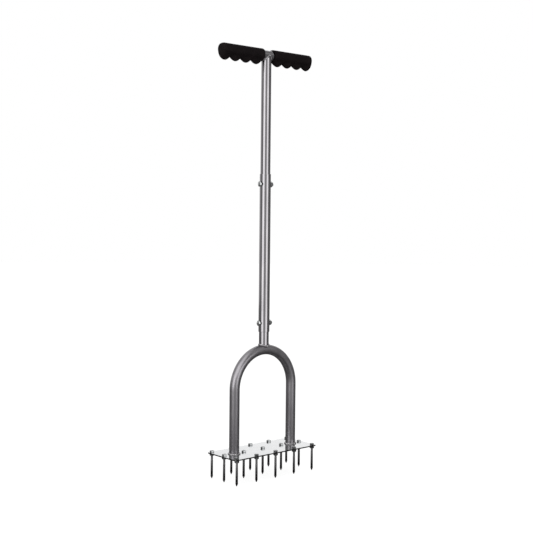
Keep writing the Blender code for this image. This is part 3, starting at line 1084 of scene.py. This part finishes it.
@dataclass
class FrameAssembly:
    """Tube bent to an upside-down U, welded to the sheet at both feet."""

    beads: BeadTree
    finish: Material
    tube_radius: float = TUBE_RADIUS
    wall: float = TUBE_WALL
    bead_radius: float = 2.2 * MM
    bead_rise: float = 0.3
    bead_reach: float = 0.4
    bead_points: int = 96
    sides: int = 72
    bend_steps: int = 96

    def __post_init__(self) -> None:
        """Work out the bend from the node's box, which the feet's welds widen alike along X and Y."""
        place = Place.of("arch_frame")
        weld_reach = place.size.y / 2 - self.tube_radius
        self.foot = place.low.z
        self.bend_radius = place.size.x / 2 - self.tube_radius - weld_reach
        self.spring = place.high.z - self.tube_radius - self.bend_radius

    def ring(self, centre: Vector, angle: float, radius: float) -> Ring:
        """Ring of points across the tube.

        Args:
            centre: its centre.
            angle: the bend's outward direction in the XZ plane.
            radius: its radius.

        Returns:
            The ring.
        """
        outward = Vector((math.cos(angle), 0.0, math.sin(angle)))
        across = Vector((0.0, 1.0, 0.0))
        return [centre + radius * (math.cos(a) * outward + math.sin(a) * across) for a in turns(self.sides)]

    def path(self) -> list[tuple[Vector, float]]:
        """Follow the tube from the left foot over the crown to the right foot.

        Returns:
            Centre and outward angle of each ring.
        """
        places = [(Vector((-self.bend_radius, 0, self.foot)), math.pi)]
        for step in range(self.bend_steps + 1):
            angle = math.pi * (1 - step / self.bend_steps)
            rise = self.bend_radius * math.sin(angle)
            places.append((Vector((self.bend_radius * math.cos(angle), 0, self.spring + rise)), angle))
        places.append((Vector((self.bend_radius, 0, self.foot)), 0.0))
        return places

    def height_of_skin(self, x: float, y: float, gap: float = 0.0) -> float:
        """Height of the crown's outer skin, or of one a gap outside it, over a point near the middle."""
        over_axis = math.sqrt(max((self.tube_radius + gap) ** 2 - y**2, 0.0))
        return self.spring + math.sqrt((self.bend_radius + over_axis) ** 2 - x**2)

    def build(self) -> None:
        """Make the tube and the bead round each foot."""
        outer = [self.ring(centre, angle, self.tube_radius) for centre, angle in self.path()]
        inner = [self.ring(centre, angle, self.tube_radius - self.wall) for centre, angle in self.path()]
        mesh = skin(outer + inner[::-1], closed_loop=True)
        add_piece("bent_frame_tube", mesh, self.finish, ["arch_frame"])
        loop_radius = self.tube_radius + self.bead_reach * self.bead_radius
        for side in Side:
            foot = Vector((side.value * self.bend_radius, 0, self.foot + self.bead_rise * self.bead_radius))
            loop = [foot + point for point in circle_ring(loop_radius, 0.0, self.bead_points)]
            name = f"{side.name.lower()}_foot_weld"
            self.beads.weld(name, Slot.FRAME, loop, self.bead_radius, seed=11 + side.value)


@dataclass
class PoleAssembly:
    """Stub, middle tube and upper tube, cross bolted at both overlaps."""

    frame: FrameAssembly
    beads: BeadTree
    threads: ThreadTree
    finish: Material
    bolt_finish: Material
    tube_radius: float = TUBE_RADIUS
    wall: float = TUBE_WALL
    sides: int = 96
    edge_radius: float = 0.35 * MM
    hole_radius: float = 4.3 * MM
    hole_sides: int = 48
    stub_cut: float = 0.68
    bead_radius: float = 2.6 * MM
    bead_inset: float = 0.6 * MM
    bead_seat: float = 0.78
    bead_points: int = 96
    nut_flats: float = 13 * MM
    nut_clearance: float = 0.3 * MM
    head_height: float = 5.3 * MM
    head_flat_share: float = 0.8
    head_dome: float = 1.1 * MM
    dome_rings: tuple[float, ...] = (0.8, 0.5, 0.2)
    washer_face: float = 0.4 * MM
    bolt_radius: float = 4.0 * MM
    bolt_chamfer: float = 0.8 * MM
    thread: Thread = Thread(pitch=1.25 * MM, depth=0.55 * MM, rows_per_turn=8)
    thread_length: float = 14 * MM

    def cross_hole(self, height: float) -> Mesh:
        """Cutter for the cross hole at a height.

        Args:
            height: height of the hole's axis.

        Returns:
            A rod along X, longer than the pole is wide.
        """
        reach = 2 * self.tube_radius
        ends = [(self.hole_radius, -reach), (self.hole_radius, reach)]
        return moved(lie_along_x(revolve(ends, self.hole_sides, closed_loop=False)), Vector((0, 0, height)))

    def saddle_tube(
        self, skin_height: Callable[[float, float], float], far_end: float, cut_radius: float
    ) -> Mesh:
        """Tube whose one end follows another tube's skin, cut square through its wall.

        Args:
            skin_height: gives the height of that skin over a point's x and y.
            far_end: height of the square end.
            cut_radius: distance from the axis at which the cut follows that skin.

        Returns:
            The tube's mesh.
        """
        inner = self.tube_radius - self.wall
        seam = [skin_height(point.x, point.y) for point in circle_ring(cut_radius, 0.0, self.sides)]
        rings = []
        for radius in (inner, self.tube_radius):
            ring = circle_ring(radius, 0.0, self.sides)
            rings.append([Vector((point.x, point.y, height)) for point, height in zip(ring, seam)])
        toward = math.copysign(self.edge_radius, far_end - rings[1][0].z)
        rings.append(circle_ring(self.tube_radius, far_end - toward, self.sides))
        rings.append(circle_ring(self.tube_radius - self.edge_radius, far_end, self.sides))
        rings.append(circle_ring(inner, far_end, self.sides))
        return skin(rings, closed_loop=True)

    def bolt_mesh(self, length: float) -> Mesh:
        """Hexagon bolt on the Z axis, seated at zero, with its domed head up.

        Args:
            length: length of its shank.

        Returns:
            The bolt's mesh.
        """
        shape = HexShape(self.nut_flats, self.head_flat_share)
        radius, face, sides, head = self.bolt_radius, shape.face_radius, shape.sides, self.head_height
        low, high = self.bolt_chamfer - length, self.thread_length - length
        rings = [circle_ring(radius - self.bolt_chamfer, -length, sides)]
        rings += [circle_ring(radius, height, sides) for height in self.thread.heights(low, high)]
        rings += [
            circle_ring(radius, 0.0, sides),
            circle_ring(face, 0.0, sides),
            circle_ring(face, self.washer_face, sides),
            shape.ring(self.washer_face),
            shape.ring(head, 1),
            circle_ring(face, head, sides),
        ]
        for share in self.dome_rings:
            rings.append(circle_ring(share * face, head + self.head_dome * (1 - share**2), sides))
        return self.threads.pressed(skin(rings), self.thread, low, high, self.bolt_finish)

    def build_joint(self, ending: str) -> float:
        """Make the bolt and nut of one joint.

        Args:
            ending: end of their nodes' names.

        Returns:
            The height of the joint's bolt.
        """
        bolt = Place.of("pole_bolt_" + ending)
        nut = Place.of("pole_nut_" + ending)
        height = bolt.centre.z
        seat = -(bolt.low.x + self.head_height)
        mesh = self.bolt_mesh(bolt.high.x + seat)
        mesh.transform(Matrix.Rotation(math.radians(90), 4, "Z"))
        mesh = moved(lie_along_x(mesh, -1), Vector((-seat, 0, height)))
        nut_mesh = HexNut(self.nut_flats, nut.size.x, self.bolt_radius + self.nut_clearance).mesh()
        nut_mesh = moved(lie_along_x(nut_mesh), Vector((nut.low.x, 0, height)))
        for kind, shape in (("bolt", mesh), ("nut", nut_mesh)):
            nodes = [f"pole_{kind}_{ending}"]
            add_piece(f"{ending}_cross_{kind}", shape, self.bolt_finish, nodes, crease=25)
        return height

    def build_crown_weld(self) -> None:
        """Make the bead between the stub and the frame's crown."""
        path = []
        for point in circle_ring(self.tube_radius - self.bead_inset, 0.0, self.bead_points):
            seat = self.bead_seat * point
            height = self.frame.height_of_skin(seat.x, seat.y) + BEAD_LIFT * self.bead_radius
            path.append(Vector((point.x, point.y, height)))
        self.beads.weld("crown_weld", Slot.POLE, path, self.bead_radius, seed=21)

    def build(self) -> None:
        """Make the bolts, the tubes and the bead on the frame's crown."""
        lower, upper = (self.build_joint(ending) for ending in ("lower", "upper"))
        crown = partial(self.frame.height_of_skin, gap=WELD_GAP)
        stub = self.saddle_tube(crown, Place.of("stub_tube").high.z, self.stub_cut * self.tube_radius)
        middle = Place.of("middle_tube")
        span = (middle.low.z, middle.high.z)
        sleeve = straight_tube(middle.size.x / 2, self.wall, span, self.edge_radius, self.sides)
        bar = partial(height_under_bar, Place.of("handle_bar"))
        top = self.saddle_tube(bar, Place.of("upper_tube").low.z, self.tube_radius - self.wall)
        for name, mesh, node, bolts in (
            ("stub", stub, "stub_tube", [lower]),
            ("sleeve", sleeve, "middle_tube", [lower, upper]),
            ("upper_pole", top, "upper_tube", [upper]),
        ):
            drilled = bored(mesh, [self.cross_hole(height) for height in bolts])
            add_piece(name, drilled, self.finish, [node])
        self.build_crown_weld()


def height_under_bar(bar: Place, _: float, y: float, gap: float = WELD_GAP) -> float:
    """Height of a skin a gap outside the underside of the handle's bar; the place along it doesn't matter."""
    radius = bar.size.z / 2 + gap
    return bar.centre.z - math.sqrt(max(radius**2 - y**2, 0.0))


@dataclass
class HandleAssembly:
    """Cross bar with its weld and the two finger grips."""

    beads: BeadTree
    bar_finish: Material
    rubber: Material
    wall: float = TUBE_WALL
    pole_radius: float = TUBE_RADIUS
    bar_edge: float = 0.3 * MM
    bead_radius: float = 1.5 * MM
    bead_points: int = 96
    bore_clearance: float = 0.3 * MM
    bore_chamfer: float = 0.4 * MM
    top: float = 15.3 * MM
    half_width: float = 16.3 * MM
    valley: float = 14.2 * MM
    lobe: float = 25.1 * MM
    lobe_pitch: float = 32.9 * MM
    lobe_fullness: float = 0.62
    first_valley: float = 18.5 * MM
    valley_count: int = 4
    valley_bluntness: float = 0.07
    ridge_width: float = 0.6
    ridge_slope: float = 1.5
    ridge_fade: float = 16 * MM
    top_squareness: float = 2.5
    lower_squareness: float = 2.05
    top_rounding: float = 7 * MM
    side_rounding: float = 8 * MM
    lower_rounding: float = 12 * MM
    inner_rounding: float = 1.5 * MM
    core_rounding: float = 0.55
    sides: int = 96
    step: float = 0.85 * MM
    mouth_steps: tuple[float, ...] = (0.0, 0.1, 0.3, 0.6, 1.0)
    end_steps: int = 20
    end_face: tuple[float, ...] = (0.8, 0.55, 0.3, 0.1)

    def __post_init__(self) -> None:
        """Read the bar's place."""
        self.bar = Place.of("handle_bar")
        self.height = self.bar.centre.z
        self.bar_radius = self.bar.size.z / 2

    def build_bar(self) -> None:
        """Make the bar, and the bead where the pole meets it."""
        half = self.bar.size.x / 2
        tube = straight_tube(self.bar_radius, self.wall, (-half, half), self.bar_edge, self.sides)
        tube = moved(lie_along_x(tube), Vector((0, 0, self.height)))
        add_piece("cross_bar", tube, self.bar_finish, ["handle_bar"])
        lift = BEAD_LIFT * self.bead_radius
        path = []
        for point in circle_ring(self.pole_radius + lift, 0.0, self.bead_points):
            path.append(Vector((point.x, point.y, height_under_bar(self.bar, point.x, point.y, lift))))
        self.beads.weld("bar_weld", Slot.POLE, path, self.bead_radius, seed=31)

    def depth_below(self, along: float) -> float:
        """Depth of the grip below the bar's axis: it dips for each finger and is full past the last dip.

        Args:
            along: distance from the pole's axis.

        Returns:
            The depth in the middle of the grip's width.
        """
        phase = (along - self.first_valley) / self.lobe_pitch
        if phase > self.valley_count - 0.5:
            return self.lobe
        blunt = self.valley_bluntness
        wave = math.hypot(math.sin(math.pi * phase), blunt)
        share = ((wave - blunt) / (math.hypot(1.0, blunt) - blunt)) ** self.lobe_fullness
        return self.valley + (self.lobe - self.valley) * share

    @staticmethod
    def rounding(radius: float, from_end: float) -> float:
        """How far an edge of this radius draws the surface in, at a distance from the end."""
        inside = max(radius - from_end, 0.0)
        return radius - math.sqrt(radius**2 - inside**2)

    def grip_ring(self, along: float, from_outer: float, from_inner: float, share: float = 1.0) -> Ring:
        """Ring of points across a grip: a round core, with a narrower ridge of finger lobes under it.

        Args:
            along: distance from the pole's axis.
            from_outer: distance from the outer end, for its rounding.
            from_inner: distance from the inner end, for its rounding.
            share: share of its size, under 1 on the end's face.

        Returns:
            The ring, in the plane across X.
        """
        inner = self.rounding(self.inner_rounding, from_inner)
        top = self.top - self.rounding(self.top_rounding, from_outer) - inner
        side = self.half_width - self.rounding(self.side_rounding, from_outer) - inner
        drawn_in = self.rounding(self.lower_rounding, from_outer) + inner
        core = self.valley - self.core_rounding * drawn_in
        ridge = self.depth_below(along) - drawn_in - core
        near_end = max(0.0, 1 - from_outer / self.ridge_fade)
        width = side * (self.ridge_width + (1 - self.ridge_width) * near_end)
        points = []
        for angle in turns(self.sides):
            upper = math.sin(angle) > 0
            power = 2 / (self.top_squareness if upper else self.lower_squareness)
            y = side * math.copysign(abs(math.cos(angle)) ** power, math.cos(angle))
            rise = abs(math.sin(angle)) ** power
            if upper:
                z = top * rise
            else:
                across = min(abs(y) / width, 1.0)
                z = -core * rise - ridge * (1 - across**2) ** (self.ridge_slope - near_end)
            points.append(Vector((along, share * y, share * z)))
        return points

    def grip_mesh(self, place: Place, side: Side) -> Mesh:
        """One grip: bored from its inner end, closed and rounded at its outer end.

        Args:
            place: the grip's place.
            side: the half of the handle that it is on.

        Returns:
            The grip's mesh.
        """
        inner_end, outer_end = sorted((abs(place.low.x), abs(place.high.x)))
        bore = self.bar_radius + self.bore_clearance
        bore_end = self.bar.size.x / 2 + self.bore_clearance
        mouth = inner_end + self.bore_chamfer
        rings = []
        for along, radius in ((bore_end, bore), (mouth, bore), (inner_end, bore + self.bore_chamfer)):
            ring = circle_ring(radius, 0.0, self.sides)
            rings.append([Vector((along, point.x, point.y)) for point in ring])
        stations = [inner_end + self.inner_rounding * share for share in self.mouth_steps]
        start, straight_end = stations[-1], outer_end - self.lower_rounding
        count = math.ceil((straight_end - start) / self.step)
        stations += [start + (straight_end - start) * (index + 1) / count for index in range(count)]
        for index in range(1, self.end_steps + 1):
            angle = math.radians(90) * index / self.end_steps
            stations.append(straight_end + self.lower_rounding * math.sin(angle))
        rings += [self.grip_ring(along, outer_end - along, along - inner_end) for along in stations]
        rings += [self.grip_ring(outer_end, 0.0, outer_end, share) for share in self.end_face]
        mesh = skin(rings)
        if side is Side.LEFT:
            mesh.transform(Matrix.Scale(-1, 4, (1, 0, 0)))
            mesh.flip_normals()
        return moved(mesh, Vector((0, 0, self.height)))

    def build(self) -> None:
        """Make the bar, its weld and both grips."""
        self.build_bar()
        for side in Side:
            node = f"{side.name.lower()}_grip"
            mesh = self.grip_mesh(Place.of(node), side)
            add_piece(f"{side.name.lower()}_finger_grip", mesh, self.rubber, [node], crease=50)


# Studio


def grey_of(level: float) -> tuple[float, float, float, float]:
    """Opaque grey of a linear level."""
    return level, level, level, 1.0


class StudioTree(Nodes):
    """Shader tree of the floor or the background, whose greys in a reflection change with the direction."""

    def __init__(self, tree: bpy.types.NodeTree, coordinates: str, front: float) -> None:
        """Empty the tree, and tell its rays apart.

        Args:
            tree: the tree.
            coordinates: the coordinates that give the direction from the tool.
            front: direction from the tool to the camera, in degrees from +X.
        """
        super().__init__(tree)
        tree.nodes.clear()
        self.front = front
        self.place = self.add("ShaderNodeTexCoord")[coordinates]
        self.rays = self.add("ShaderNodeLightPath")
        either = (self.rays["Is Camera Ray"], self.rays["Is Transmission Ray"])
        self.direct = self.add(MATH, either, operation="MAXIMUM")[0]

    def around(self, greys: Greys) -> Socket:
        """Grey that changes with the direction round the tool.

        Args:
            greys: angle from the camera's side, positive to the right, and the grey there.

        Returns:
            The grey.
        """
        turned = {"Vector": self.place, "Rotation": (0.0, 0.0, -math.radians(self.front))}
        mapped = self.add("ShaderNodeMapping", turned)[0]
        direction = self.add("ShaderNodeTexGradient", {"Vector": mapped}, gradient_type="RADIAL")["Fac"]
        shade = self.add("ShaderNodeValToRGB", {"Fac": direction})["Color"]
        stops = shade.node.color_ramp.elements
        for index, (angle, grey) in enumerate(greys):
            if index >= len(stops):
                stops.new(1.0)
            stops[index].position = 0.5 + angle / 360
            stops[index].color = grey_of(grey)
        return shade

    def fade(self, value: Socket, band: Pair, first: object, second: Socket) -> Socket:
        """Blend from one grey to another while a value crosses a band.

        Args:
            value: the value.
            band: the values at which the first and the second grey show alone.
            first: grey below the band.
            second: grey above it.

        Returns:
            The blended grey.
        """
        share = self.add(MAP_RANGE, (value, *band), interpolation_type="SMOOTHSTEP")[0]
        return self.add(MIX, {"Factor": share, 6: first, 7: second}, data_type="RGBA")[2]


@dataclass(frozen=True)
class SoftBox:
    """A tall soft lamp beside the camera, aimed at the pole."""

    name: str
    heading: float
    width: float
    distance: float = 5.0
    low: float = 0.01
    high: float = 2.0
    radiance: float = 0.8

    def build(self) -> None:
        """Make the lamp."""
        lamp = bpy.data.lights.new(self.name, "AREA")
        lamp.shape = "RECTANGLE"
        lamp.size = self.width
        lamp.size_y = self.high - self.low
        lamp.energy = self.radiance * math.pi * lamp.size * lamp.size_y
        thing = linked(self.name, lamp)
        toward = Vector((math.cos(math.radians(self.heading)), math.sin(math.radians(self.heading)), 0))
        thing.location = toward * self.distance + Vector((0, 0, (self.low + self.high) / 2))
        thing.rotation_mode = "QUATERNION"
        thing.rotation_quaternion = toward.to_track_quat("Z", "Y")
        thing.visible_camera = False


@dataclass(frozen=True)
class Studio:
    """Camera, floor, background and lamps.

    The floor and the background are white to the camera. Metal mirrors them as greys, which each table
    gives round the tool, from the left over the camera's side at 0 degrees to the right. The tables are for
    the floor near the tool and further off, the walls from the horizon up, their upper part and the ceiling.
    Each lamp has its side, its turn from the camera's side in degrees and its width.
    """

    picture_width: float = 533.0
    focal_pixels: float = 1000.0
    shift_pixels: float = 14.0
    sensor_width: float = 36.0
    heading: float = 41.21
    pitch: float = -1.90
    roll: float = 0.54
    distance: float = 2.499
    aside: float = 4.7 * MM
    height: float = 0.6412
    floor_radius: float = 12.0
    floor_drop: float = 0.3 * MM
    floor_sides: int = 64
    floor_colour: str = "#ebebeb"
    floor_own_light: float = 0.9
    floor_catches: float = 0.32
    floor_under_tool: float = 0.03
    under_to_near: Pair = (0.2, 0.6)
    near_to_far: Pair = (1.6, 2.6)
    far_to_wall: Pair = (4.8, 5.2)
    near_floor: Greys = (
        (-160, 0.12), (-120, 0.1), (-100, 0.09), (-62, 0.14), (-23, 0.19), (35, 0.22),
        (52, 0.25), (75, 0.13), (95, 0.06), (128, 0.04), (150, 0.05),
    )
    far_floor: Greys = (
        (-162, 0.9), (-150, 0.14), (-56, 0.16), (-53, 1.35), (-17, 1.35), (-13, 0.36),
        (28, 0.36), (32, 1.35), (65, 1.35), (69, 0.13), (150, 0.12), (162, 0.9),
    )
    horizon: Greys = (
        (-162, 1.0), (-149, 0.66), (-147, 0.5), (-122.5, 0.5), (-121.5, 0.36), (-95.5, 0.36),
        (-94.5, 0.2), (-62.5, 0.2), (-54, 0.6), (-16, 0.6), (-14, 0.335), (28.5, 0.335),
        (30.5, 0.6), (66, 0.3), (70, 0.144), (159, 0.144), (161, 1.0),
    )
    upper: Greys = (
        (-178, 0.55), (-150, 0.52), (-115, 0.38), (-88, 0.33), (-70, 0.55), (-55, 1.1), (-30, 1.25),
        (14, 1.2), (28, 0.45), (40, 0.12), (52, 0.14), (70, 0.28), (95, 0.28), (112, 0.15), (130, 0.15),
        (158, 0.55),
    )
    ceiling: Greys = ((-150, 0.45), (-90, 0.5), (-50, 0.75), (0, 1.0), (40, 0.32), (90, 0.24), (150, 0.35))
    horizon_to_upper: Pair = (0.2, 0.36)
    upper_to_ceiling: Pair = (0.80, 0.93)
    second_bounce: float = 0.1
    fill: float = 0.55
    lamps: tuple[tuple[str, float, float], ...] = (("left", -34.5, 3.54), ("right", 48.0, 3.17))

    @property
    def toward_camera(self) -> float:
        """Direction from the pole to the camera, in degrees from +X."""
        return -90.0 - self.heading

    def build_camera(self) -> None:
        """Make the camera, from the photograph's viewing angle."""
        turn, tilt = math.radians(self.heading), math.radians(self.pitch)
        level = Vector((math.sin(turn), math.cos(turn), 0))
        right = Vector((math.cos(turn), -math.sin(turn), 0))
        forward = level * math.cos(tilt) + Vector((0, 0, math.sin(tilt)))
        up = right.cross(forward)
        lean = math.radians(self.roll)
        across = right * math.cos(lean) + up * math.sin(lean)
        upright = up * math.cos(lean) - right * math.sin(lean)
        camera = bpy.data.cameras.new("camera")
        camera.sensor_width = self.sensor_width
        camera.lens = self.focal_pixels * camera.sensor_width / self.picture_width
        camera.shift_y = -self.shift_pixels / self.picture_width
        thing = linked("camera", camera)
        place = right * self.aside - level * self.distance + Vector((0, 0, self.height))
        turned = Matrix((across, upright, -forward)).transposed().to_4x4()
        thing.matrix_world = Matrix.Translation(place) @ turned
        bpy.context.scene.camera = thing

    def build_world(self) -> None:
        """Make the background and its soft fill light; what metal mirrors twice over is dimmer."""
        world = bpy.data.worlds.new("studio")
        world.use_nodes = True
        room = StudioTree(world.node_tree, "Generated", self.toward_camera)
        height = room.add("ShaderNodeSeparateXYZ", (room.place,))["Z"]
        low, high, top = (room.around(greys) for greys in (self.horizon, self.upper, self.ceiling))
        above = room.fade(height, self.upper_to_ceiling, high, top)
        seen = room.fade(height, self.horizon_to_upper, low, above)
        bounces = (room.rays["Glossy Depth"], 1.0, 2.0, 1.0, self.second_bounce)
        dimming = room.add(MAP_RANGE, bounces)[0]
        mirrored = room.add(MATH, (seen, dimming), operation="MULTIPLY")[0]
        unseen = room.add(MAP_RANGE, {0: room.rays["Is Glossy Ray"], 3: self.fill, 4: mirrored})[0]
        strength = room.add(MAP_RANGE, {0: room.direct, 3: unseen, 4: 1.0})[0]
        light = room.add("ShaderNodeBackground", {"Color": linear("#ffffff"), "Strength": strength})[0]
        room.add("ShaderNodeOutputWorld", {"Surface": light})
        bpy.context.scene.world = world

    def floor_material(self) -> Material:
        """Build the floor's material, which keeps the tool's shadow.

        Returns:
            The material.
        """
        material = bpy.data.materials.new("floor")
        material.use_nodes = True
        floor = StudioTree(material.node_tree, "Object", self.toward_camera)
        reach = floor.add(VECTOR_MATH, (floor.place,), operation="LENGTH")["Value"]
        seen = grey_of(self.floor_under_tool)
        for band, greys in (
            (self.under_to_near, self.near_floor),
            (self.near_to_far, self.far_floor),
            (self.far_to_wall, self.horizon),
        ):
            seen = floor.fade(reach, band, seen, floor.around(greys))
        # painted reflections: in metal the floor glows with these greys, darkest under the tool as painted
        # shade and brighter than white towards the soft boxes
        mirrored = floor.add("ShaderNodeEmission", {"Color": seen})[0]
        plain = floor.add("ShaderNodeBsdfDiffuse", {"Color": linear(self.floor_colour)})[0]
        catching = floor.add("ShaderNodeBsdfDiffuse", {"Color": grey_of(self.floor_catches)})[0]
        glow = floor.add("ShaderNodeEmission", {"Strength": self.floor_own_light})[0]
        white = floor.add("ShaderNodeAddShader", (catching, glow))[0]
        unseen = floor.add("ShaderNodeMixShader", (floor.rays["Is Glossy Ray"], plain, mirrored))[0]
        shown = floor.add("ShaderNodeMixShader", (floor.direct, unseen, white))[0]
        floor.add("ShaderNodeOutputMaterial", {"Surface": shown})
        return material

    def build_floor(self) -> None:
        """Make the pale floor."""
        mesh = bpy.data.meshes.new("floor")
        ring = circle_ring(self.floor_radius, -self.floor_drop, self.floor_sides)
        mesh.from_pydata(ring, [], [range(len(ring))])
        mesh.materials.append(self.floor_material())
        floor = linked("floor", mesh)

    def build(self) -> None:
        """Set up the whole studio."""
        bpy.context.scene.view_settings.view_transform = "Standard"
        self.build_camera()
        self.build_world()
        self.build_floor()
        for side, turn, width in self.lamps:
            SoftBox(f"{side}_soft_box", heading=self.toward_camera + turn, width=width).build()


def main() -> None:
    """Load the frame, build every sub-assembly and light the set."""
    logging.basicConfig(level=logging.INFO, format="%(message)s")
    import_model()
    sheet = Place.of("spike_plate")
    plating = PlatedSheet(
        "nickel_chrome_sheet",
        colour="#f2f3f4",
        dull_colour="#ecedef",
        roughness=0.055,
        bare_metal=0.8,
        wave_depth=0.006 * MM,
        scratch_depth=0.001 * MM,
        half_length=sheet.size.x / 2,
        half_width=sheet.size.y / 2,
    ).material()
    bright_zinc = BrightPlating(
        "bright_zinc_fastener", colour="#f4f6f6", dull_colour="#e4e7e7", roughness=0.07, wave=4 * MM
    ).material()
    # painted shade and highlight: the frame's enamel is the pole's silver painted a little darker, the welds'
    # painted lighter
    silver, frame_silver_shaded, weld_silver_lit = (
        TubeEnamel(name, colour, shade, roughness, metallic, clear_gloss).material()
        for name, colour, shade, roughness, metallic, clear_gloss in (
            ("silver_tube_enamel", "#cbc8cb", "#bab7bb", 0.09, 1.0, 0.25),
            ("frame_tube_enamel", "#c2bfc3", "#b0adb2", 0.3, 0.92, 0.0),
            ("weld_enamel", "#eceaec", "#d4d1d4", 0.34, 1.0, 0.4),
        )
    )
    steel = SpikeSteel(
        "blackened_spike_steel",
        top_colour="#b2b1b2",
        tip_colour="#2c2b2b",
        plated_colour="#f4f5f5",
        dark_up_to=14 * MM,
        light_from=58 * MM,
        plated_from=sheet.high.z,
    ).material()
    rubber = GripRubber("moulded_grip_rubber", colour="#150e10", worn_colour="#1f1618").material()
    threads, copies, beads = ThreadTree(), CopiesTree(), BeadTree(weld_silver_lit)
    PlateAssembly(threads, copies, plating, bright_zinc, steel).build()
    frame = FrameAssembly(beads, frame_silver_shaded)
    frame.build()
    PoleAssembly(frame, beads, threads, silver, bright_zinc).build()
    HandleAssembly(beads, silver, rubber).build()
    Studio().build()


if __name__ == "__main__":
    main()
